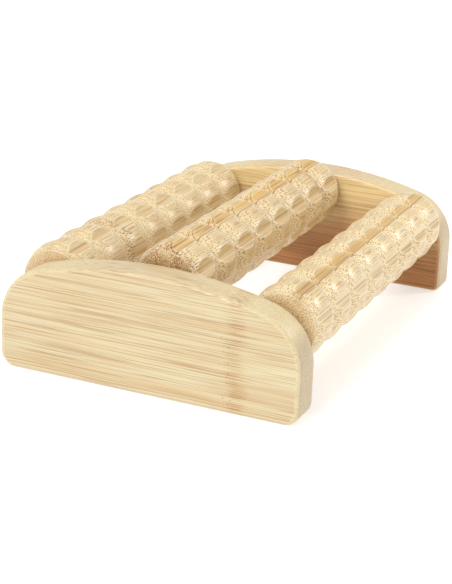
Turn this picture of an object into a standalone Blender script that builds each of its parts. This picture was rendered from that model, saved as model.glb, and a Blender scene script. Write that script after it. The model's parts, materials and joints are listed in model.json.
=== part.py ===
"""Foot massage roller: two bamboo side plates joined by three fixed steel axles,
with a knobbed bamboo roller turning freely on each axle.

Frame, in metres: +Y runs along the rollers from the front plate to the rear plate,
+X across the rollers to the right, +Z up. The origin is on the floor, midway
between the plates and under the middle roller.
"""

import math

import bmesh
import bpy
from mathutils import Matrix, Vector

MM = 0.001
CLEARANCE = 0.3 * MM
WELD = 0.01 * MM

# Side plates: a flat foot, upright ends, round shoulders and a shallow arched top.
PLATE_LENGTH = 165.0 * MM
PLATE_HEIGHT = 63.0 * MM
PLATE_THICKNESS = 19.0 * MM
TOP_ARCH_RADIUS = 230.0 * MM
SHOULDER_RADIUS = 29.0 * MM
FOOT_CORNER_RADIUS = {"front": 8.0 * MM, "rear": 3.5 * MM}
PLATE_EDGE_RADIUS = 2.6 * MM
TOP_ARCH_STEPS = 14
SHOULDER_STEPS = 9
FOOT_CORNER_STEPS = 5
PLATE_EDGE_SEGMENTS = 2

# Rollers: a row of round beads, cut lengthwise by shallow V grooves into knobs.
ROLLER_LENGTH = 198.0 * MM
BEADS = 8
BEAD_CREST_RADIUS = 20.0 * MM
BEAD_CUSP_RADIUS = 17.2 * MM
BEAD_SEGMENTS = 4
ROLLER_SIDES = 28
GROOVES = 7
GROOVE_FLOOR_RADIUS = 18.0 * MM
GROOVE_WALL_SLOPE = math.radians(16.2)
GROOVE_CUTTER_HEIGHT = 2.4 * MM
GROOVE_CUTTER_OVERRUN = 1.1

# Axles and washers. The washer fills the gap between a plate and a roller's end.
AXLE_RADIUS = 3.0 * MM
AXLE_SEAT_DEPTH = 13.0 * MM
AXLE_CHAMFER = 0.5 * MM
AXLE_SIDES = 24
WASHER_RADIUS = 7.0 * MM
WASHER_THICKNESS = 1.9 * MM
WASHER_SIDES = 24
BORE_RADIUS = AXLE_RADIUS + CLEARANCE

END_GAP = WASHER_THICKNESS + 2 * CLEARANCE
INNER_FACE_Y = ROLLER_LENGTH / 2 + END_GAP
PLATE_CENTRE_Y = INNER_FACE_Y + PLATE_THICKNESS / 2
WASHER_CENTRE_Y = INNER_FACE_Y - END_GAP / 2

# Each roller's name, its axis across and up, and how far its grooves are turned.
ROLLERS = (
    ("left", -63.5 * MM, 41.5 * MM, math.radians(12.4)),
    ("middle", 0.0, 52.0 * MM, math.radians(27.0)),
    ("right", 63.5 * MM, 41.5 * MM, math.radians(19.6)),
)
SIDES = (("front", -1), ("rear", 1))

# An object turned by this about X has its own Z along the rollers.
ALONG_ROLLERS = -math.pi / 2


def clear_scene():
    for obj in list(bpy.data.objects):
        bpy.data.objects.remove(obj)


def new_collection(name):
    collection = bpy.data.collections.new(name)
    bpy.context.scene.collection.children.link(collection)
    return collection


def new_material(name, colour, roughness, metallic):
    material = bpy.data.materials.new(name)
    material.use_nodes = True
    shader = material.node_tree.nodes["Principled BSDF"]
    shader.inputs["Base Color"].default_value = (*colour, 1.0)
    shader.inputs["Roughness"].default_value = roughness
    shader.inputs["Metallic"].default_value = metallic
    material.diffuse_color = (*colour, 1.0)
    return material


def place(name, data, collection, material=None):
    obj = bpy.data.objects.new(name, data)
    collection.objects.link(obj)
    if material is not None:
        obj.data.materials.clear()
        obj.data.materials.append(material)
    return obj


def smooth_rounds(mesh, angle=30):
    mesh.shade_smooth()
    mesh.set_sharp_from_angle(angle=math.radians(angle))


def arc(centre, radius, start, end, steps):
    """Points from angle start to angle end, both included, in radians."""
    points = []
    for step in range(steps + 1):
        angle = start + (end - start) * step / steps
        points.append((centre[0] + radius * math.cos(angle), centre[1] + radius * math.sin(angle)))
    return points


def plate_outline(foot_radius):
    """The plate's outline, anticlockwise from its right foot corner."""
    half = PLATE_LENGTH / 2
    foot_x = half - foot_radius
    shoulder_x = half - SHOULDER_RADIUS
    arch_z = PLATE_HEIGHT - TOP_ARCH_RADIUS
    # The shoulder's arc touches the upright end and the arched top without a corner.
    lean = math.acos(shoulder_x / (TOP_ARCH_RADIUS - SHOULDER_RADIUS))
    shoulder_z = arch_z + shoulder_x * math.tan(lean)
    right = arc((foot_x, foot_radius), foot_radius, -math.pi / 2, 0, FOOT_CORNER_STEPS)
    right += arc((shoulder_x, shoulder_z), SHOULDER_RADIUS, 0, lean, SHOULDER_STEPS)
    right += arc((0, arch_z), TOP_ARCH_RADIUS, lean, math.pi / 2, TOP_ARCH_STEPS)[1:]
    left = [(-x, z) for x, z in reversed(right[:-1])]
    return right + left


def outline_mesh(name, outlines, thickness):
    """Flat outlines extruded evenly about their own XY plane, as one welded mesh."""
    curve = bpy.data.curves.new(name, "CURVE")
    curve.dimensions = "2D"
    curve.fill_mode = "BOTH"
    curve.extrude = thickness / 2
    for outline in outlines:
        spline = curve.splines.new("POLY")
        spline.points.add(len(outline) - 1)
        for point, (x, y) in zip(spline.points, outline):
            point.co = (x, y, 0, 1)
        spline.use_cyclic_u = True
    holder = bpy.data.objects.new(name, curve)
    bpy.context.scene.collection.objects.link(holder)
    evaluated = holder.evaluated_get(bpy.context.evaluated_depsgraph_get())
    mesh = bpy.data.meshes.new_from_object(evaluated)
    bpy.data.objects.remove(holder)
    shape = bmesh.new()
    shape.from_mesh(mesh)
    bmesh.ops.remove_doubles(shape, verts=shape.verts, dist=WELD)
    bmesh.ops.dissolve_limit(
        shape, angle_limit=math.radians(1), verts=shape.verts, edges=shape.edges
    )
    bmesh.ops.recalc_face_normals(shape, faces=shape.faces)
    shape.to_mesh(mesh)
    shape.free()
    return mesh


def turned_mesh(name, profile):
    """A closed profile of (radius, height) points, for a Screw modifier to turn."""
    mesh = bpy.data.meshes.new(name)
    points = [(radius, 0, height) for radius, height in profile]
    edges = [(i, (i + 1) % len(points)) for i in range(len(points))]
    mesh.from_pydata(points, edges, [])
    return mesh


def turn(obj, sides):
    screw = obj.modifiers.new("turn", "SCREW")
    screw.steps = sides
    screw.render_steps = sides
    screw.use_merge_vertices = True
    screw.merge_threshold = WELD
    screw.use_smooth_shade = True
    return screw


def subtract(obj, cutter):
    cut = obj.modifiers.new("cut_" + cutter.name, "BOOLEAN")
    cut.operation = "DIFFERENCE"
    cut.solver = "EXACT"
    cut.object = cutter
    cutter.hide_render = True
    cutter.display_type = "WIRE"


def bevel_sharp_edges(obj, width, segments):
    bevel = obj.modifiers.new("round_edges", "BEVEL")
    bevel.width = width
    bevel.segments = segments
    bevel.limit_method = "ANGLE"
    bevel.angle_limit = math.radians(45)


def cylinder_mesh(name, radius, length, sides):
    shape = bmesh.new()
    bmesh.ops.create_cone(
        shape, cap_ends=True, segments=sides, radius1=radius, radius2=radius, depth=length
    )
    mesh = bpy.data.meshes.new(name)
    shape.to_mesh(mesh)
    shape.free()
    return mesh


def add_side_plate(side, sign, parts, cutters, material):
    """A plate standing upright, with a blind seat for each axle in its inner face."""
    outline = plate_outline(FOOT_CORNER_RADIUS[side])
    mesh = outline_mesh(side + "_side_plate", [outline], PLATE_THICKNESS)
    plate = place(side + "_side_plate", mesh, parts, material)
    plate.location = (0, sign * PLATE_CENTRE_Y, 0)
    plate.rotation_euler = (math.pi / 2, 0, 0)
    bevel_sharp_edges(plate, PLATE_EDGE_RADIUS, PLATE_EDGE_SEGMENTS)
    seat_length = 2 * (AXLE_SEAT_DEPTH + CLEARANCE)
    for name, x, z, _ in ROLLERS:
        seat_mesh = cylinder_mesh("axle_seat", BORE_RADIUS, seat_length, AXLE_SIDES)
        seat = place(f"seat_{side}_{name}", seat_mesh, cutters)
        seat.location = (x, sign * INNER_FACE_Y, z)
        seat.rotation_euler = (ALONG_ROLLERS, 0, 0)
        subtract(plate, seat)
    smooth_rounds(mesh)
    return plate


def roller_profile():
    """Round beads side by side down the outside, then the bore back up."""
    pitch = ROLLER_LENGTH / BEADS
    rise = BEAD_CREST_RADIUS - BEAD_CUSP_RADIUS
    bead_arc_radius = (rise**2 + (pitch / 2) ** 2) / (2 * rise)
    profile = [(BEAD_CUSP_RADIUS, ROLLER_LENGTH / 2)]
    for bead in range(BEADS):
        top = ROLLER_LENGTH / 2 - bead * pitch
        for step in range(1, BEAD_SEGMENTS + 1):
            height = top - pitch * step / BEAD_SEGMENTS
            from_crest = height - (top - pitch / 2)
            sagitta = bead_arc_radius - math.sqrt(bead_arc_radius**2 - from_crest**2)
            profile.append((BEAD_CREST_RADIUS - sagitta, height))
    profile.append((BORE_RADIUS, -ROLLER_LENGTH / 2))
    profile.append((BORE_RADIUS, ROLLER_LENGTH / 2))
    return profile


def groove_cutter_mesh():
    """Three-sided bars round the roller's own Z, each with one edge on a groove's floor."""
    far_radius = GROOVE_FLOOR_RADIUS + GROOVE_CUTTER_HEIGHT
    half_width = GROOVE_CUTTER_HEIGHT / math.tan(GROOVE_WALL_SLOPE)
    corners = ((GROOVE_FLOOR_RADIUS, 0), (far_radius, half_width), (far_radius, -half_width))
    bars = []
    for groove in range(GROOVES):
        turned = Matrix.Rotation(2 * math.pi * groove / GROOVES, 2)
        bars.append([turned @ Vector(corner) for corner in corners])
    return outline_mesh("groove_cutter", bars, ROLLER_LENGTH * GROOVE_CUTTER_OVERRUN)


def add_roller(name, x, z, groove_turn, parts, cutters, material):
    """A beaded, grooved roller whose origin lies on its axle's axis."""
    profile_mesh = turned_mesh("roller_" + name, roller_profile())
    roller = place("roller_" + name, profile_mesh, parts, material)
    roller.location = (x, 0, z)
    # Each groove's floor runs midway along a row of flats, clear of the turned mesh's edges.
    half_side = math.pi / ROLLER_SIDES
    roller.rotation_euler = (ALONG_ROLLERS, -groove_turn - half_side, 0)
    turn(roller, ROLLER_SIDES)
    grooves = place("grooves_" + name, groove_cutter_mesh(), cutters)
    grooves.parent = roller
    grooves.rotation_euler = (0, 0, half_side)
    subtract(roller, grooves)
    return roller


def add_axle(name, x, z, parts, material):
    """A straight steel rod, held in a blind seat in each plate."""
    length = 2 * (INNER_FACE_Y + AXLE_SEAT_DEPTH)
    rod = cylinder_mesh("axle_" + name, AXLE_RADIUS, length, AXLE_SIDES)
    axle = place("axle_" + name, rod, parts, material)
    axle.location = (x, 0, z)
    axle.rotation_euler = (ALONG_ROLLERS, 0, 0)
    bevel_sharp_edges(axle, AXLE_CHAMFER, 1)
    smooth_rounds(axle.data)
    return axle


def add_washer(name, side, sign, x, z, parts, material):
    """A flat ring on the axle, between a plate and a roller's end."""
    half = WASHER_THICKNESS / 2
    ring = [(WASHER_RADIUS, half), (WASHER_RADIUS, -half), (BORE_RADIUS, -half), (BORE_RADIUS, half)]
    washer = place(f"washer_{name}_{side}", turned_mesh("washer", ring), parts, material)
    washer.location = (x, sign * WASHER_CENTRE_Y, z)
    washer.rotation_euler = (ALONG_ROLLERS, 0, 0)
    turn(washer, WASHER_SIDES)
    return washer


def main():
    clear_scene()
    parts = new_collection("foot_massage_roller")
    cutters = new_collection("cutters")
    plate_bamboo = new_material("plate_bamboo", (0.80, 0.62, 0.38), 0.42, 0.0)
    roller_bamboo = new_material("roller_bamboo", (0.76, 0.57, 0.34), 0.38, 0.0)
    axle_steel = new_material("axle_steel", (0.62, 0.62, 0.63), 0.30, 1.0)
    washer_nylon = new_material("washer_nylon", (0.86, 0.85, 0.80), 0.50, 0.0)
    for side, sign in SIDES:
        add_side_plate(side, sign, parts, cutters, plate_bamboo)
    for name, x, z, groove_turn in ROLLERS:
        add_axle(name, x, z, parts, axle_steel)
        add_roller(name, x, z, groove_turn, parts, cutters, roller_bamboo)
        for side, sign in SIDES:
            add_washer(name, side, sign, x, z, parts, washer_nylon)


main()
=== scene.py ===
"""Looks of the foot massage roller: varnished bamboo plates and knobbed bamboo rollers."""

import json
import math

import bmesh
import bpy
import numpy as np
from mathutils import Matrix, Vector


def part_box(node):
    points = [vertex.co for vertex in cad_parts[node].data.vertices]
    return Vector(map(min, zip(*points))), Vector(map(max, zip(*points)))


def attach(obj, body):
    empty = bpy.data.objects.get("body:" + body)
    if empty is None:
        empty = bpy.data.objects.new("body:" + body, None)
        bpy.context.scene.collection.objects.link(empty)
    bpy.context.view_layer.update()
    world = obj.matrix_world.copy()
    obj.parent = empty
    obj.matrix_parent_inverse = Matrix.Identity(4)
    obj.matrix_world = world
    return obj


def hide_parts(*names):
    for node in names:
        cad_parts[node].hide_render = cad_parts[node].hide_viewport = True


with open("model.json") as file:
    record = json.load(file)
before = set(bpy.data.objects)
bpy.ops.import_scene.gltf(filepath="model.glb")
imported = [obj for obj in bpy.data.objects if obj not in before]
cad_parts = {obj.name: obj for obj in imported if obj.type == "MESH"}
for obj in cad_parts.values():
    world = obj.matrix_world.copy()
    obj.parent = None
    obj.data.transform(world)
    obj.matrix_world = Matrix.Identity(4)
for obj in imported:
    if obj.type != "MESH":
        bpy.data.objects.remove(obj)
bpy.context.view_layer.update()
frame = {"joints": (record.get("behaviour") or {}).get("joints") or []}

MM = 0.001
ROLLERS = ("left", "middle", "right")
SIDES = ("front", "rear")

# Plate outline, as the CAD plate has it. Its length, height and faces come from the frame.
TOP_ARCH_RADIUS = 230.0 * MM
SHOULDER_RADIUS = 29.0 * MM
FOOT_CORNER_RADIUS = {"front": 8.0 * MM, "rear": 3.5 * MM}
PLATE_EDGE_RADIUS = 2.6 * MM
PLATE_EDGE_STEPS = 6
FOOT_CORNER_STEPS = 10
SHOULDER_STEPS = 28
TOP_ARCH_STEPS = 24
PLATE_SHARP_ANGLE = math.radians(40)
# How far under its inner face a plate's painted shade starts, and is complete, in millimetres.
INNER_SHADE_START = 4.6
INNER_SHADE_FULL = 4.2

# Roller surface. The axis and the length come from the frame.
BEADS = 8
GROOVES = 7
CREST_RADIUS = 19.9 * MM
CUSP_RADIUS = 17.2 * MM
GROOVE_FLOOR_RADIUS = 18.0 * MM
GROOVE_WALL_SLOPE = math.radians(16.2)
GROOVE_TURN = {"left": 12.4, "middle": 27.0, "right": 19.6}  # degrees, as the rollers rest
ARRIS_SOFTNESS = 0.09 * MM
CUSP_SOFTNESS = 0.05 * MM
GROOVE_FLOOR_SOFTNESS = 0.12 * MM
RIM_RADIUS = 0.75 * MM
BORE_CHAMFER = 0.4 * MM
# Worn edges and painted sheen: how far the wear reaches from an arris, how far the painted
# sheen of the varnish reaches from a cusp, and that sheen's strength, less than on an arris.
ARRIS_WEAR_REACH = 0.17 * MM
CUSP_SHEEN_REACH = 0.55 * MM
CUSP_SHEEN = 0.5
RIM_WEAR = 0.5
# The roller's mesh: rows to a bead, how much closer they lie at a cusp, and the angles in
# degrees from a groove's floor where its columns change their spacing.
ROWS_PER_BEAD = 26
CUSP_CROWDING = 0.40
FLOOR_END = 2.0
ARRIS_START = 11.5
ARRIS_END = 16.5
RIM_STEPS = 4

# Axles and washers.
AXLE_RADIUS = 3.0 * MM
AXLE_CHAMFER = 0.5 * MM
BORE_RADIUS = 3.3 * MM
WASHER_EDGE = 0.35 * MM
ROUND_STEPS = 48

# Camera: where it looks from, in degrees, and how far it stands from its target.
VIEW_AZIMUTH = 23.40
VIEW_ELEVATION = 19.83
VIEW_ROLL = 2.36
VIEW_DISTANCE = 0.9353
VIEW_TARGET = Vector((-0.0098, 0.0, 0.0151))
LENS = 103.54
SENSOR_WIDTH = 36.0

# Studio: the floor's half side, whiteness and glow, and the light from all round.
FLOOR_REACH = 6.0
FLOOR_WHITENESS = 0.70
FLOOR_GLOW = 0.46
SKY_STRENGTH = 0.78


# ---------------------------------------------------------------- mesh building


def add_mesh(name, points, faces, body, material, replaces):
    """A piece whose mesh is made of these points and faces."""
    mesh = bpy.data.meshes.new(name)
    mesh.from_pydata([tuple(p) for p in points], [], faces)
    mesh.validate()
    return add_piece(name, mesh, body, material, replaces)


def add_piece(name, mesh, body, material, replaces):
    """A smooth-shaded piece that stands for CAD nodes and rides on their body."""
    mesh.shade_smooth()
    mesh.materials.clear()
    mesh.materials.append(material)
    piece = bpy.data.objects.new(name, mesh)
    bpy.context.scene.collection.objects.link(piece)
    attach(piece, body)
    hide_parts(*replaces)
    return piece


def grid_faces(rows, columns, closed_rows):
    """Quads over a grid of points that closes on itself round each row."""
    faces = []
    last = rows if closed_rows else rows - 1
    for row in range(last):
        after = (row + 1) % rows
        for column in range(columns):
            beside = (column + 1) % columns
            faces.append(
                (row * columns + column, row * columns + beside,
                 after * columns + beside, after * columns + column)
            )
    return faces


def soft_min(a, b, softness):
    """The smaller of two heights, rounded where they cross."""
    return (a + b - np.sqrt((a - b) ** 2 + 4 * softness**2)) / 2


def soft_max(a, b, softness):
    """The larger of two heights, rounded where they cross."""
    return (a + b + np.sqrt((a - b) ** 2 + 4 * softness**2)) / 2


# ---------------------------------------------------------------- rollers


def bead_radius(along, pitch):
    """Radius of the row of beads at each place along the roller, before grooving."""
    rise = CREST_RADIUS - CUSP_RADIUS
    crown = (rise**2 + (pitch / 2) ** 2) / (2 * rise)
    here = np.clip(np.floor(along / pitch), 0, BEADS - 1)
    radii = []
    for bead in (here - 1, here, here + 1):
        off_centre = along - (bead + 0.5) * pitch
        inside = np.clip(crown**2 - off_centre**2, 0, None)
        own = CREST_RADIUS - crown + np.sqrt(inside)
        # Past the roller's ends there is no bead, and a radius of -1 never shows.
        radii.append(np.where((bead >= 0) & (bead < BEADS), own, -1.0))
    before, middle, after = radii
    return soft_max(soft_max(before, middle, CUSP_SOFTNESS), after, CUSP_SOFTNESS)


def groove_radius(angle):
    """Radius of the nearest V groove's walls at each angle from the first groove."""
    period = 2 * math.pi / GROOVES
    off_floor = (angle + period / 2) % period - period / 2
    softened = np.sqrt(np.sin(off_floor) ** 2 + (GROOVE_FLOOR_SOFTNESS / GROOVE_FLOOR_RADIUS) ** 2)
    return GROOVE_FLOOR_RADIUS / (np.cos(off_floor) - softened * math.tan(GROOVE_WALL_SLOPE))


def roller_angles():
    """Column angles for one turn: close together at each groove's floor and arrises."""
    land_end = 360 / GROOVES - ARRIS_END
    stretches = (
        (-ARRIS_END, -ARRIS_START, 8), (-ARRIS_START, -FLOOR_END, 6), (-FLOOR_END, FLOOR_END, 8),
        (FLOOR_END, ARRIS_START, 6), (ARRIS_START, ARRIS_END, 8), (ARRIS_END, land_end, 7),
    )
    one = [np.linspace(start, end, steps, endpoint=False) for start, end, steps in stretches]
    one = np.radians(np.concatenate(one))
    return np.concatenate([one + 2 * math.pi * k / GROOVES for k in range(GROOVES)])


def outside_rows(angles, length):
    """The roller's outside: rows of (place along it, radii), and each row's depths and its wear with
    painted sheen.

    A depth is how far a groove has cut into the bead at that point, in millimetres. Wear is
    1 on an arris and falls to 0 beside it, and a weaker painted sheen of the varnish lies along each
    cusp.
    """
    pitch = length / BEADS
    share = np.linspace(0, 1, ROWS_PER_BEAD, endpoint=False)
    eased = share - CUSP_CROWDING * np.sin(2 * math.pi * share) / (2 * math.pi)
    places = np.concatenate([(bead + eased) * pitch for bead in range(BEADS)] + [[length]])
    places[0] = RIM_RADIUS
    places[-1] = length - RIM_RADIUS
    rows = []
    depths = []
    wear_and_sheen = []
    for along in places:
        beads = bead_radius(np.full(angles.shape, along), pitch)
        grooves = groove_radius(angles)
        surface = soft_min(beads, grooves, ARRIS_SOFTNESS)
        rows.append((along, surface))
        depths.append((beads - surface) / MM)
        arris_wear = np.exp(-((beads - grooves) / ARRIS_WEAR_REACH) ** 2)
        # Painted sheen along each cusp, where the varnish reflects at a grazing angle.
        to_cusp = along - round(along / pitch) * pitch
        cusp_sheen = CUSP_SHEEN * math.exp(-((to_cusp / CUSP_SHEEN_REACH) ** 2))
        wear_and_sheen.append(np.maximum(arris_wear, np.where(beads < grooves, cusp_sheen, 0.0)))
    return rows, depths, wear_and_sheen


def end_and_bore_rows(first, last, length):
    """Rows that carry on from the last outside row, through the bore, round to the first."""
    turns = np.radians(np.linspace(0, 90, RIM_STEPS + 1)[1:])
    rim = [(RIM_RADIUS * (1 - math.sin(t)), RIM_RADIUS * (1 - math.cos(t))) for t in turns]
    far_rim = [(length - back, last - drop) for back, drop in rim]
    near_rim = [(back, first - drop) for back, drop in rim]
    bore = np.full(first.shape, BORE_RADIUS)
    through = [
        (length, (bore + far_rim[-1][1]) / 2), (length, bore + BORE_CHAMFER),
        (length - BORE_CHAMFER, bore), (length / 2, bore), (BORE_CHAMFER, bore),
        (0.0, bore + BORE_CHAMFER), (0.0, (bore + near_rim[-1][1]) / 2),
    ]
    return far_rim + through + near_rim[::-1]


def add_roller(name, material):
    """A turned and grooved roller, with its bore, its worn edges and painted cusp sheen, and the depth of
    its cuts.
    """
    node = "roller_" + name
    low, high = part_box(node)
    length = high.y - low.y
    joint = next(j for j in frame["joints"] if j["child"] == node)
    axis_x, _, axis_z = joint["pos_m"]
    angles = roller_angles()
    rows, depths, wear_and_sheen = outside_rows(angles, length)
    outside = len(rows)
    rows += end_and_bore_rows(rows[0][1], rows[-1][1], length)
    turned = angles + math.radians(GROOVE_TURN[name])
    points = []
    for along, radius in rows:
        ring = np.stack(
            [axis_x + radius * np.cos(turned), np.full(turned.shape, low.y + along),
             axis_z + radius * np.sin(turned)], axis=1
        )
        points.append(ring)
    faces = grid_faces(len(rows), len(angles), closed_rows=True)
    roller = add_mesh(
        node + "_turned", np.concatenate(points), faces, node, material, [node]
    )
    # The material reads these two at each point.
    cut_depth = np.zeros((len(rows), len(angles)))
    cut_depth[:outside] = depths
    edge_wear_and_sheen = np.zeros((len(rows), len(angles)))
    edge_wear_and_sheen[:outside] = wear_and_sheen
    edge_wear_and_sheen[outside:outside + RIM_STEPS] = RIM_WEAR
    edge_wear_and_sheen[-RIM_STEPS:] = RIM_WEAR
    for label, values in (("cut_depth", cut_depth), ("edge_wear_and_sheen", edge_wear_and_sheen)):
        attribute = roller.data.attributes.new(label, "FLOAT", "POINT")
        attribute.data.foreach_set("value", values.ravel())
    return roller


# ---------------------------------------------------------------- plates


def arc(centre, radius, start, end, steps):
    """Points along an arc, with both its ends."""
    angles = np.linspace(start, end, steps + 1)
    return [(centre[0] + radius * math.cos(a), centre[1] + radius * math.sin(a)) for a in angles]


def plate_outline(length, height, foot_radius, inset):
    """The plate's outline drawn inwards by inset, anticlockwise from its right foot corner."""
    half = length / 2
    shoulder_x = half - SHOULDER_RADIUS
    arch_z = height - TOP_ARCH_RADIUS
    lean = math.acos(shoulder_x / (TOP_ARCH_RADIUS - SHOULDER_RADIUS))
    shoulder_z = arch_z + shoulder_x * math.tan(lean)
    foot = (half - foot_radius, foot_radius)
    right = arc(foot, foot_radius - inset, -math.pi / 2, 0, FOOT_CORNER_STEPS)
    right += arc((shoulder_x, shoulder_z), SHOULDER_RADIUS - inset, 0, lean, SHOULDER_STEPS)
    right += arc((0, arch_z), TOP_ARCH_RADIUS - inset, lean, math.pi / 2, TOP_ARCH_STEPS)[1:]
    left = [(-x, z) for x, z in reversed(right[:-1])]
    return right + left


def add_plate(side, material):
    """A plate with evenly rounded edges, and its blind axle seats bored in the inner face."""
    node = side + "_side_plate"
    low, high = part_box(node)
    length, height = high.x - low.x, high.z - low.z
    turns = np.radians(np.linspace(0, 90, PLATE_EDGE_STEPS + 1))
    shape = bmesh.new()
    rings = []
    for y, towards, order in ((low.y, 1, reversed(turns)), (high.y, -1, turns)):
        for turn in order:
            inset = PLATE_EDGE_RADIUS * (1 - math.cos(turn))
            depth = PLATE_EDGE_RADIUS * (1 - math.sin(turn))
            outline = plate_outline(length, height, FOOT_CORNER_RADIUS[side], inset)
            rings.append([shape.verts.new((x, y + towards * depth, z + low.z)) for x, z in outline])
    for near, far in zip(rings, rings[1:]):
        for i in range(len(near)):
            j = (i + 1) % len(near)
            shape.faces.new((near[i], near[j], far[j], far[i]))
    shape.faces.new(list(reversed(rings[0])))
    shape.faces.new(rings[-1])
    bmesh.ops.recalc_face_normals(shape, faces=shape.faces)
    mesh = bpy.data.meshes.new(node + "_rounded")
    shape.to_mesh(mesh)
    shape.free()
    plate = add_piece(node + "_rounded", mesh, "frame", material, [node])
    inner_y = high.y if side == "front" else low.y
    for name in ROLLERS:
        bore_seat(plate, name, inner_y)
    plate.data.set_sharp_from_angle(angle=PLATE_SHARP_ANGLE)
    return plate


def bore_seat(plate, name, inner_y):
    """Cuts the blind hole for one axle into the plate's inner face."""
    axle_low, axle_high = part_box("axle_" + name)
    deepest = axle_low.y if inner_y < 0 else axle_high.y
    clearance = BORE_RADIUS - AXLE_RADIUS
    depth = abs(deepest - inner_y) + clearance
    shape = bmesh.new()
    bmesh.ops.create_cone(
        shape, cap_ends=True, segments=ROUND_STEPS, radius1=BORE_RADIUS, radius2=BORE_RADIUS,
        depth=2 * depth
    )
    mesh = bpy.data.meshes.new("seat")
    shape.to_mesh(mesh)
    shape.free()
    cutter = bpy.data.objects.new("seat_cutter", mesh)
    bpy.context.scene.collection.objects.link(cutter)
    cutter.rotation_euler = (math.pi / 2, 0, 0)
    centre = (axle_low + axle_high) / 2
    cutter.location = (centre.x, inner_y, centre.z)
    cut = plate.modifiers.new("seat", "BOOLEAN")
    cut.object = cutter
    cut.operation = "DIFFERENCE"
    cut.solver = "EXACT"
    bake_modifiers(plate)
    bpy.data.objects.remove(cutter)


def bake_modifiers(piece):
    """Replaces the piece's mesh by the one its modifiers make."""
    bpy.context.view_layer.update()
    evaluated = piece.evaluated_get(bpy.context.evaluated_depsgraph_get())
    mesh = bpy.data.meshes.new_from_object(evaluated)
    piece.modifiers.clear()
    piece.data = mesh


# ---------------------------------------------------------------- axles and washers


def turned_points(profile, centre):
    """Points of a (radius, place along Y) profile turned about the line along Y through centre."""
    angles = np.linspace(0, 2 * math.pi, ROUND_STEPS, endpoint=False)
    points = []
    for radius, along in profile:
        for angle in angles:
            points.append(
                (centre[0] + radius * math.cos(angle), along, centre[1] + radius * math.sin(angle))
            )
    return points


def add_axle(name, material):
    """A rod with chamfered, slightly domed ends."""
    node = "axle_" + name
    low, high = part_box(node)
    centre = ((low.x + high.x) / 2, (low.z + high.z) / 2)
    cut = AXLE_CHAMFER
    profile = [
        (AXLE_RADIUS - 2 * cut, low.y), (AXLE_RADIUS - cut, low.y + cut / 4),
        (AXLE_RADIUS, low.y + cut), (AXLE_RADIUS, low.y + 4 * cut),
        (AXLE_RADIUS, high.y - 4 * cut), (AXLE_RADIUS, high.y - cut),
        (AXLE_RADIUS - cut, high.y - cut / 4), (AXLE_RADIUS - 2 * cut, high.y),
    ]
    points = turned_points(profile, centre)
    faces = grid_faces(len(profile), ROUND_STEPS, closed_rows=False)
    faces.append(tuple(range(ROUND_STEPS)))
    faces.append(tuple(range(len(points) - 1, len(points) - 1 - ROUND_STEPS, -1)))
    return add_mesh(node + "_rod", points, faces, "frame", material, [node])


def add_washer(name, side, material):
    """A flat ring with rounded rims."""
    node = f"washer_{name}_{side}"
    low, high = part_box(node)
    centre = ((low.x + high.x) / 2, (low.z + high.z) / 2)
    outer = (high.x - low.x) / 2
    edge = WASHER_EDGE
    profile = [
        (outer - edge, low.y), (outer - edge * 0.3, low.y + edge * 0.3), (outer, low.y + edge),
        (outer, high.y - edge), (outer - edge * 0.3, high.y - edge * 0.3), (outer - edge, high.y),
        (BORE_RADIUS + edge, high.y), (BORE_RADIUS, high.y - edge),
        (BORE_RADIUS, low.y + edge), (BORE_RADIUS + edge, low.y),
    ]
    points = turned_points(profile, centre)
    faces = grid_faces(len(profile), ROUND_STEPS, closed_rows=True)
    return add_mesh(node + "_ring", points, faces, "frame", material, [node])


# ---------------------------------------------------------------- materials


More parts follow.
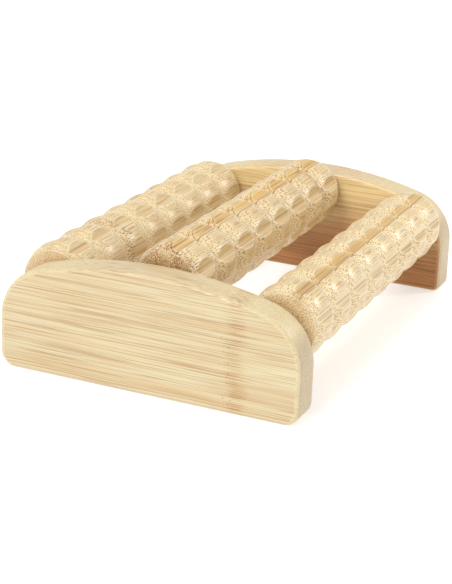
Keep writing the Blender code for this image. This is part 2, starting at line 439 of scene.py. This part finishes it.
class Graph:
    """Short calls for building a material's node tree. Most of them return an output socket."""

    def __init__(self, name):
        self.material = bpy.data.materials.new(name)
        self.material.use_nodes = True
        self.tree = self.material.node_tree
        self.shader = self.tree.nodes["Principled BSDF"]

    def node(self, kind, inputs, **settings):
        made = self.tree.nodes.new(kind)
        for name, value in settings.items():
            setattr(made, name, value)
        for key, value in inputs.items():
            self.feed(made.inputs[key], value)
        return made

    def feed(self, socket, value):
        if isinstance(value, bpy.types.NodeSocket):
            self.tree.links.new(value, socket)
        else:
            socket.default_value = value

    def math(self, operation, a, b=0.0, c=0.0):
        return self.node("ShaderNodeMath", {0: a, 1: b, 2: c}, operation=operation).outputs[0]

    def times(self, a, b):
        return self.math("MULTIPLY", a, b)

    def scaled(self, a, factor, added):
        """a times factor, plus added."""
        return self.math("MULTIPLY_ADD", a, factor, added)

    def opposite(self, mask):
        return self.math("SUBTRACT", 1.0, mask)

    def attribute(self, name):
        return self.node("ShaderNodeAttribute", {}, attribute_name=name).outputs["Fac"]

    def vector(self, operation, a, b=(0, 0, 0), scale=None):
        inputs = {0: a, 1: b}
        if scale is not None:
            inputs["Scale"] = scale
        return self.node("ShaderNodeVectorMath", inputs, operation=operation).outputs[0]

    def combine(self, x, y, z):
        return self.node("ShaderNodeCombineXYZ", {0: x, 1: y, 2: z}).outputs[0]

    def split(self, vector):
        return self.node("ShaderNodeSeparateXYZ", {0: vector}).outputs

    def noise(self, vector, scale=1.0, detail=2.0, roughness=0.5):
        inputs = {"Vector": vector, "Scale": scale, "Detail": detail, "Roughness": roughness}
        return self.node("ShaderNodeTexNoise", inputs).outputs

    def smooth(self, value, low, high):
        """0 below low, 1 above high, with a smooth step between."""
        inputs = {"Value": value, "From Min": low, "From Max": high}
        made = self.node("ShaderNodeMapRange", inputs, interpolation_type="SMOOTHSTEP")
        return made.outputs[0]

    def mix(self, factor, a, b):
        """Colour a where factor is 0, b where it is 1."""
        made = self.node("ShaderNodeMix", {0: factor}, data_type="RGBA")
        self.feed(made.inputs[6], a)
        self.feed(made.inputs[7], b)
        return made.outputs[2]

    def white(self, vector):
        return self.node("ShaderNodeTexWhiteNoise", {"Vector": vector}).outputs

    def finish(self, colour, roughness, height, strength, distance):
        """Feeds the shader its colour and roughness, and bumps from the height."""
        self.feed(self.shader.inputs["Base Color"], colour)
        self.feed(self.shader.inputs["Roughness"], roughness)
        bump = self.node("ShaderNodeBump", {"Strength": strength, "Distance": distance, "Height": height})
        self.feed(self.shader.inputs["Normal"], bump.outputs[0])


def rgb(r, g, b):
    return (r, g, b, 1.0)


# What each kind of bamboo looks like. Colours are linear light.
#   strip, pitch   width of a laminated strip and spacing of the fibre bundles, in millimetres
#   size           radius of a bundle, in pitches
#   bleach         how far a surface cut across the grain takes the slant and end colours
#   streak_depth, dot_depth   how strongly bundles show along the grain, and across it
#   lines, bunching, fineness   fine lines: strength, swing of strength, how many to a millimetre
#   bands          strength of the broad warm bands
#   node_dots, node_warmth   how strongly a growth mark darkens its bundles and its wood
#   gloss          weight of the varnish
PLATE_LOOK = {
    "strip": 7.0, "pitch": 0.95, "size": 0.06, "bleach": 0.65, "streak_depth": 0.55, "dot_depth": 0.34,
    "lines": 0.40, "bunching": 0.30, "fineness": 1.85, "bands": 0.66,
    "node_dots": 0.50, "node_warmth": 0.95, "gloss": 0.12,
    "pale": rgb(0.645, 0.565, 0.362), "warm": rgb(0.585, 0.420, 0.222),
    "slant": rgb(0.660, 0.550, 0.315), "end": rgb(0.475, 0.368, 0.232),
    "streak": rgb(0.410, 0.240, 0.100), "dot": rgb(0.310, 0.185, 0.085),
}
# A roller also has the golden colour of its strip and of the painted warm shade in its cut
# grooves, and the pale colour of its worn edges and of the painted sheen along its cusps.
ROLLER_LOOK = {
    "strip": 6.5, "pitch": 0.78, "size": 0.10, "bleach": 0.45, "streak_depth": 0.50, "dot_depth": 0.95,
    "lines": 0.32, "bunching": 0.40, "fineness": 1.65, "bands": 0.75,
    "node_dots": 0.80, "node_warmth": 0.75, "gloss": 0.30,
    "pale": rgb(0.715, 0.600, 0.355), "warm": rgb(0.640, 0.440, 0.190),
    "slant": rgb(0.790, 0.655, 0.400), "end": rgb(0.700, 0.490, 0.245),
    "streak": rgb(0.380, 0.205, 0.065), "dot": rgb(0.370, 0.195, 0.070),
    "golden": rgb(0.610, 0.380, 0.100), "worn_and_sheen": rgb(0.840, 0.750, 0.550),
}
# The middle roller is cut from richer stock, with larger and darker bundles.
RICH_ROLLER_LOOK = {
    **ROLLER_LOOK, "pitch": 0.82, "dot": rgb(0.300, 0.135, 0.040), "golden": rgb(0.700, 0.430, 0.105),
    "node_dots": 1.00, "node_warmth": 1.25,
}
# The left one is the most even, with fainter bundles.
EVEN_ROLLER_LOOK = {**ROLLER_LOOK, "dot_depth": 0.78}
# Each plate's wood: the seed of its pattern, how far it leans to its warmer tone, and where its
# growth marks are along X. Places are in millimetres.
PLATE_WOOD = {"front": (1.7, 0.0, [49.0]), "rear": (5.3, 0.35, [])}
# Each roller's wood: the seed of its pattern, its look, how far it leans to its warmer tone,
# where its growth marks are along Y, and its golden strip. That is where the strip starts and
# ends, to the right of the roller's middle, and how far it leans for each unit of Y.
ROLLER_WOOD = {
    "left": (11.3, EVEN_ROLLER_LOOK, 0.15, [-46.0], None),
    "middle": (16.0, RICH_ROLLER_LOOK, 0.30, [70.0, -97.0], (-2.5, 5.2, 0.0)),
    "right": (20.7, ROLLER_LOOK, 0.0, [], (2.8, 7.0, -0.008)),
}
# Painted shade on a plate's inner face: the pale colour at its top, the dark colour at its foot and its
# darker streaks stand in for the shade under the rollers.
INNER_SHADE_TOP = rgb(0.815, 0.625, 0.310)
INNER_SHADE_FOOT = rgb(0.395, 0.158, 0.036)
INNER_SHADE_STREAK = rgb(0.210, 0.085, 0.024)
GLUE_LINE = rgb(0.230, 0.105, 0.030)
NODE_WOOD = rgb(0.470, 0.265, 0.095)
NODE_DOT = rgb(0.170, 0.058, 0.014)
NODE_PORE = rgb(0.160, 0.085, 0.030)
# How far the grain must be cut across, as a share of a full end cut, for bundles to start to
# show as dots and to be complete dots, and the same for the colour of end grain.
DOTS_SHOW = (0.02, 0.24)
END_SHOWS = (0.72, 0.95)


class Bamboo(Graph):
    """Varnished laminated bamboo, solid all the way through.

    grain is the axis that the fibres follow, X or Y. Everything is worked out in
    millimetres in the cut across the grain, so that a face along the grain shows streaks
    and one across it shows dots, as cut bamboo does.
    """

    def __init__(self, name, grain, seed, look):
        super().__init__(name)
        self.seed = seed
        self.look = look
        coordinates = self.node("ShaderNodeTexCoord", {}).outputs
        self.place = self.vector("SCALE", coordinates["Object"], scale=1 / MM)
        x, y, z = self.split(self.place)
        self.along, self.across, self.through = (x, z, y) if grain == "X" else (y, x, z)
        # The fibres wander slowly, by a fraction of a millimetre.
        wander = self.noise(self.stretched(0.012, 0.05), 1.0, 1.0)["Color"]
        wander_x, wander_y, _ = self.split(self.vector("SUBTRACT", wander, (0.5, 0.5, 0.5)))
        self.across = self.math("ADD", self.across, wander_x)
        self.through = self.math("ADD", self.through, wander_y)
        # Laminated strips, each with its own tint and its own run of bundles.
        strip = self.math("DIVIDE", self.math("ADD", self.across, seed * 3.1), look["strip"])
        own = self.white(self.combine(self.math("FLOOR", strip), seed, 0.5))["Color"]
        self.tint, self.shift, self.richness = self.split(own)
        # How far the surface is cut across the grain, from 0 along it to 1 at an end.
        normal_x, normal_y, _ = self.split(coordinates["Normal"])
        facing = self.math("ABSOLUTE", normal_x if grain == "X" else normal_y)
        self.cut_across = self.smooth(facing, *DOTS_SHOW)
        self.end_cut = self.smooth(facing, *END_SHOWS)
        self.normal_y = normal_y
        # Fine fibres, broad bands of tone, and patches where the fibres crowd.
        self.fine = self.noise(self.stretched(0.016, look["fineness"]), 1.0, 1.0)["Fac"]
        self.broad = self.noise(self.stretched(0.016, 0.24, 7.0), 1.0, 2.0)["Fac"]
        self.patch = self.noise(self.stretched(0.022, 0.30, 3.0), 1.0, 2.0)["Fac"]
        # What only some pieces have: a golden strip with its glue line, and painted shade on a plate's
        # inner face.
        self.rich = self.glue = 0.0
        self.inside = self.painted_shade = 0.0

    def stretched(self, along_scale, cross_scale, offset=0.0):
        """The place with its own scale along the grain and across it."""
        return self.combine(
            self.scaled(self.along, along_scale, offset), self.times(self.across, cross_scale),
            self.scaled(self.through, cross_scale, self.seed)
        )

    def lay_golden_strip(self, start, end, lean):
        """One strip from start to end is richer, with a dark glue line along its far side."""
        off_end = self.opposite(self.end_cut)
        in_strip = self.scaled(self.along, -lean, self.across)
        before_end = self.opposite(self.smooth(in_strip, end - 0.1, end + 0.1))
        rich = self.times(self.smooth(in_strip, start - 0.6, start + 0.6), before_end)
        self.rich = self.times(rich, off_end)
        off_line = self.math("ABSOLUTE", self.math("SUBTRACT", in_strip, end))
        self.glue = self.times(self.opposite(self.smooth(off_line, 0.12, 0.42)), off_end)

    def fibre_bundles(self):
        """A mask of the bundles: round in the cut across the grain, and long along it."""
        pitch = self.look["pitch"]
        bundle_place = self.combine(
            self.math("DIVIDE", self.scaled(self.shift, 40.0, self.across), pitch),
            self.math("DIVIDE", self.scaled(self.tint, 60.0, self.through), pitch), self.seed
        )
        inputs = {"Vector": bundle_place, "Scale": 1.0, "Randomness": 0.9}
        cells = self.node("ShaderNodeTexVoronoi", inputs, voronoi_dimensions="2D").outputs
        own_depth, own_phase, _ = self.split(cells["Color"])
        crowd = self.noise(self.stretched(0.012, 0.17), 1.0, 2.0)["Fac"]
        size = self.scaled(crowd, 0.36, self.look["size"])
        size = self.scaled(self.end_cut, 0.12, self.scaled(self.rich, 0.10, size))
        bundle = self.smooth(self.math("SUBTRACT", size, cells["Distance"]), -0.07, 0.07)
        # Each bundle comes and goes along its length.
        stretch = self.combine(self.times(self.along, 0.022), self.times(own_phase, 30.0), self.seed)
        fade = self.smooth(self.noise(stretch, 1.0, 1.0)["Fac"], 0.30, 0.62)
        strength = self.scaled(own_depth, 0.35, self.times(fade, 0.65))
        on_end = self.times(self.scaled(own_depth, 0.4, 0.6), self.cut_across)
        return self.times(bundle, self.math("MAXIMUM", strength, on_end))

    def clear_wood(self, warmth):
        """The colour between the bundles, before the inner ply, the cuts and the fine lines."""
        look = self.look
        ground = self.mix(self.scaled(self.tint, 0.40, warmth), look["pale"], look["warm"])
        band = self.times(self.smooth(self.broad, 0.38, 0.68), look["bands"])
        ground = self.mix(band, ground, look["warm"])
        cut_colour = self.mix(self.end_cut, look["slant"], look["end"])
        return self.mix(self.times(self.cut_across, look["bleach"]), ground, cut_colour)

    def paint_inner_shade(self, ground, start, full):
        """Painted shade on a plate's inner face: a darker colour that pales with height, unevenly."""
        flat = self.smooth(self.math("ABSOLUTE", self.normal_y), 0.55, 0.95)
        self.inside = self.times(self.smooth(self.through, start, full), flat)
        height = self.scaled(self.patch, 16.0, self.scaled(self.tint, 2.5, self.across))
        # Painted shade: the face is darkest low down, where the rollers shade it, and pales with height.
        shade_lifts = self.smooth(height, 25.0, 65.0)
        self.painted_shade = self.times(self.inside, self.opposite(shade_lifts))
        shade_colour = self.mix(shade_lifts, INNER_SHADE_FOOT, INNER_SHADE_TOP)
        return self.mix(self.times(self.inside, 0.95), ground, shade_colour)

    def carve(self, ground, bundle, crowded):
        """What cutting and use have done to a roller's colour, its bundles and its lines, with painted
        warm shade in the grooves and painted sheen along the cusps.
        """
        # The golden strip, and painted warm shade in the cut grooves: the strip is more golden in
        # them, and every groove gets a faint golden tint.
        grooved = self.smooth(self.attribute("cut_depth"), 0.10, 0.70)
        gold_and_groove_shade = self.scaled(self.smooth(self.broad, 0.35, 0.60), 0.5, 0.6)
        gold_and_groove_shade = self.times(gold_and_groove_shade, self.scaled(grooved, 0.35, 0.45))
        gold_and_groove_shade = self.scaled(gold_and_groove_shade, self.rich, self.times(grooved, 0.10))
        ground = self.mix(gold_and_groove_shade, ground, self.look["golden"])
        crowded = self.scaled(self.rich, 0.18, self.scaled(grooved, 0.10, crowded))
        # Worn, paler wood along the edges of the cuts, and painted sheen of the varnish along the cusps.
        wear_and_sheen = self.times(self.attribute("edge_wear_and_sheen"), self.scaled(self.rich, -0.6, 1.0))
        ground = self.mix(self.times(wear_and_sheen, 0.50), ground, self.look["worn_and_sheen"])
        return ground, self.times(bundle, self.scaled(wear_and_sheen, -0.6, 1.0)), crowded

    def grow_mark(self, colour, bundle, mark):
        """A growth mark: warm wood across the grain, at a slightly different place in each
        strip, with darker bundles, and with a few dark pores beside it."""
        offset = self.math("SUBTRACT", self.along, mark)
        offset = self.scaled(self.math("SUBTRACT", self.richness, 0.5), 4.0, offset)
        spots = self.noise(self.stretched(0.14, 0.42, 1.5), 1.0, 3.0, 0.6)["Fac"]
        offset = self.scaled(self.math("SUBTRACT", spots, 0.5), 9.0, offset)
        near = self.opposite(self.smooth(self.math("ABSOLUTE", offset), 0.5, 7.0))
        banded = self.scaled(self.smooth(self.broad, 0.36, 0.66), 0.6, 0.4)
        fibrous = self.scaled(self.smooth(self.fine, 0.40, 0.62), 0.75, 0.12)
        warm = self.times(self.times(near, banded), self.times(fibrous, self.look["node_warmth"]))
        colour = self.mix(warm, colour, NODE_WOOD)
        dark = self.times(self.times(bundle, near), self.look["node_dots"])
        colour = self.mix(dark, colour, NODE_DOT)
        beside = self.math("LESS_THAN", self.math("ABSOLUTE", self.math("ADD", offset, 4.5)), 3.0)
        pores = self.noise(self.vector("SCALE", self.place, scale=0.85), 1.0, 1.0)["Fac"]
        pore = self.times(self.smooth(pores, 0.70, 0.76), beside)
        return self.mix(self.times(pore, 0.75), colour, NODE_PORE)

    def varnish(self, colour, bundle):
        """The coat over the colour: smoother where handled, and proud between the bundles."""
        handled = self.noise(self.vector("SCALE", self.place, scale=0.06), 1.0, 3.0)["Fac"]
        rough = self.scaled(bundle, 0.10, self.scaled(handled, 0.14, 0.37))
        height = self.scaled(self.fine, 0.5, self.times(bundle, -1.0))
        self.finish(colour, rough, height, 0.35, 0.04 * MM)
        self.shader.inputs["IOR"].default_value = 1.5
        self.shader.inputs["Coat Weight"].default_value = self.look["gloss"]
        self.shader.inputs["Coat Roughness"].default_value = 0.22


def bamboo(name, grain, seed, look, node_marks, warmth, inner_shade=None, golden_strip=None):
    """A bamboo material. Places are in millimetres.

    node_marks are where the growth marks are along the grain, and warmth leans the whole
    piece towards its warmer tone. A plate's painted shade on its inner face starts at the
    first of the two inner_shade places along Y and is complete at the second. golden_strip is
    where one golden strip of a roller starts and ends along X, and its lean for each unit of Y.
    """
    wood = Bamboo(name, grain, seed, look)
    if golden_strip is not None:
        wood.lay_golden_strip(*golden_strip)
    bundle = wood.fibre_bundles()
    ground = wood.clear_wood(warmth)
    crowded = wood.scaled(wood.smooth(wood.patch, 0.35, 0.65), look["bunching"], look["lines"])
    # Painted shade on a plate's inner face, with more and darker lines in it.
    if inner_shade is not None:
        ground = wood.paint_inner_shade(ground, *inner_shade)
        crowded = wood.scaled(wood.painted_shade, 0.45, wood.scaled(wood.inside, -0.08, crowded))
    if "golden" in look:
        ground, bundle, crowded = wood.carve(ground, bundle, crowded)
    # Fine lines along the grain, then the bundles, as streaks or as dots.
    line = wood.times(wood.smooth(wood.fine, 0.52, 0.60), wood.opposite(wood.cut_across))
    # Within the painted shade on a plate's inner face the lines are darker.
    streak = wood.mix(wood.painted_shade, look["streak"], INNER_SHADE_STREAK)
    ground = wood.mix(wood.times(line, crowded), ground, streak)
    ground = wood.mix(wood.times(wood.glue, 0.80), ground, GLUE_LINE)
    bundle_colour = wood.mix(wood.cut_across, streak, look["dot"])
    depth = wood.scaled(wood.cut_across, look["dot_depth"] - look["streak_depth"], look["streak_depth"])
    colour = wood.mix(wood.times(bundle, depth), ground, bundle_colour)
    for mark in node_marks:
        colour = wood.grow_mark(colour, bundle, mark)
    wood.varnish(colour, bundle)
    return wood.material


def inner_shade_places(side):
    """Where the painted shade on a plate's inner face starts, and where it is complete, in millimetres
    along Y.
    """
    low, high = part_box(side + "_side_plate")
    inwards = 1 if side == "front" else -1
    inner_y = (high.y if side == "front" else low.y) / MM
    return inner_y - inwards * INNER_SHADE_START, inner_y - inwards * INNER_SHADE_FULL


def steel(name):
    """Drawn bright bar: fine scratches along it and a faint handling haze."""
    g = Graph(name)
    place = g.vector("SCALE", g.node("ShaderNodeTexCoord", {}).outputs["Object"], scale=1 / MM)
    x, y, z = g.split(place)
    drawn = g.noise(g.combine(g.times(x, 9.0), g.times(y, 0.4), g.times(z, 9.0)), 1.0, 3.0)["Fac"]
    haze = g.noise(place, 0.15, 2.0)["Fac"]
    colour = g.mix(haze, rgb(0.60, 0.60, 0.61), rgb(0.50, 0.50, 0.51))
    g.finish(colour, g.scaled(drawn, 0.20, 0.20), drawn, 0.2, 0.01 * MM)
    g.shader.inputs["Metallic"].default_value = 1.0
    return g.material


def nylon(name):
    """Natural white nylon, slightly mottled."""
    g = Graph(name)
    place = g.vector("SCALE", g.node("ShaderNodeTexCoord", {}).outputs["Object"], scale=1 / MM)
    mottle = g.noise(place, 0.8, 3.0)["Fac"]
    colour = g.mix(mottle, rgb(0.78, 0.76, 0.69), rgb(0.70, 0.67, 0.59))
    g.finish(colour, g.scaled(mottle, 0.15, 0.40), mottle, 0.2, 0.02 * MM)
    g.shader.inputs["Subsurface Weight"].default_value = 0.15
    g.shader.inputs["Subsurface Radius"].default_value = (2 * MM, 2 * MM, 2 * MM)
    return g.material


# ---------------------------------------------------------------- studio


def add_floor():
    """A plain white floor, with a faint glow that keeps its shadows pale."""
    mesh = bpy.data.meshes.new("floor")
    reach = FLOOR_REACH
    corners = [(-reach, -reach, 0), (reach, -reach, 0), (reach, reach, 0), (-reach, reach, 0)]
    mesh.from_pydata(corners, [], [(0, 1, 2, 3)])
    floor = bpy.data.objects.new("floor", mesh)
    bpy.context.scene.collection.objects.link(floor)
    g = Graph("floor_paper")
    g.shader.inputs["Base Color"].default_value = rgb(*[FLOOR_WHITENESS] * 3)
    g.shader.inputs["Emission Color"].default_value = rgb(1.0, 1.0, 1.0)
    g.shader.inputs["Emission Strength"].default_value = FLOOR_GLOW
    g.shader.inputs["Roughness"].default_value = 0.9
    g.shader.inputs["Specular IOR Level"].default_value = 0.1
    mesh.materials.append(g.material)


def away(azimuth, elevation):
    """Unit vector from the object towards a place at that azimuth and elevation."""
    a, e = math.radians(azimuth), math.radians(elevation)
    return Vector((math.sin(a) * math.cos(e), -math.cos(a) * math.cos(e), math.sin(e)))


def add_sun(name, azimuth, elevation, strength, spread):
    """A sun. Angles are in degrees, and the spread is how wide its disc is."""
    light = bpy.data.lights.new(name, "SUN")
    light.energy = strength
    light.angle = math.radians(spread)
    lamp = bpy.data.objects.new(name, light)
    bpy.context.scene.collection.objects.link(lamp)
    lamp.rotation_mode = "QUATERNION"
    lamp.rotation_quaternion = (-away(azimuth, elevation)).to_track_quat("-Z", "Y")


def add_softbox(name, azimuth, elevation, distance, size, power):
    """A square lamp that faces the object."""
    light = bpy.data.lights.new(name, "AREA")
    light.energy = power
    light.size = size
    lamp = bpy.data.objects.new(name, light)
    bpy.context.scene.collection.objects.link(lamp)
    lamp.location = away(azimuth, elevation) * distance
    lamp.rotation_mode = "QUATERNION"
    lamp.rotation_quaternion = (-away(azimuth, elevation)).to_track_quat("-Z", "Y")


def add_world():
    """Even white light from all round."""
    world = bpy.data.worlds.new("studio")
    bpy.context.scene.world = world
    world.use_nodes = True
    background = world.node_tree.nodes["Background"]
    background.inputs["Color"].default_value = rgb(1.0, 1.0, 1.0)
    background.inputs["Strength"].default_value = SKY_STRENGTH


def add_camera():
    """The camera, turned a little about its line of sight."""
    data = bpy.data.cameras.new("camera")
    data.lens = LENS
    data.sensor_width = SENSOR_WIDTH
    data.clip_end = 50.0
    camera = bpy.data.objects.new("camera", data)
    bpy.context.scene.collection.objects.link(camera)
    back = away(VIEW_AZIMUTH, VIEW_ELEVATION)
    camera.location = VIEW_TARGET + back * VIEW_DISTANCE
    upright = (-back).to_track_quat("-Z", "Y").to_matrix().to_4x4()
    roll = math.radians(VIEW_ROLL)
    camera.rotation_euler = (upright @ Matrix.Rotation(roll, 4, "Z")).to_euler()
    bpy.context.scene.camera = camera


def main():
    for side in SIDES:
        seed, warmth, marks = PLATE_WOOD[side]
        # Where the painted shade on each plate's inner face lies.
        shade_span = inner_shade_places(side)
        wood = bamboo("plate_bamboo_" + side, "X", seed, PLATE_LOOK, marks, warmth, inner_shade=shade_span)
        add_plate(side, wood)
    for name in ROLLERS:
        seed, look, warmth, marks, strip = ROLLER_WOOD[name]
        if strip is not None:
            low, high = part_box("roller_" + name)
            middle_x = (low.x + high.x) / 2 / MM
            start, end, lean = strip
            strip = (middle_x + start, middle_x + end, lean)
        wood = bamboo("roller_bamboo_" + name, "Y", seed, look, marks, warmth, golden_strip=strip)
        add_roller(name, wood)
    axle_look = steel("axle_steel_drawn")
    washer_look = nylon("washer_nylon_natural")
    for name in ROLLERS:
        add_axle(name, axle_look)
        for side in SIDES:
            add_washer(name, side, washer_look)
    add_floor()
    add_world()
    add_sun("key", azimuth=-22, elevation=53, strength=1.80, spread=30)
    add_softbox("rear_right_box", azimuth=133, elevation=31, distance=1.1, size=0.22, power=2.55)
    add_camera()
    bpy.context.scene.view_settings.view_transform = "Standard"


main()
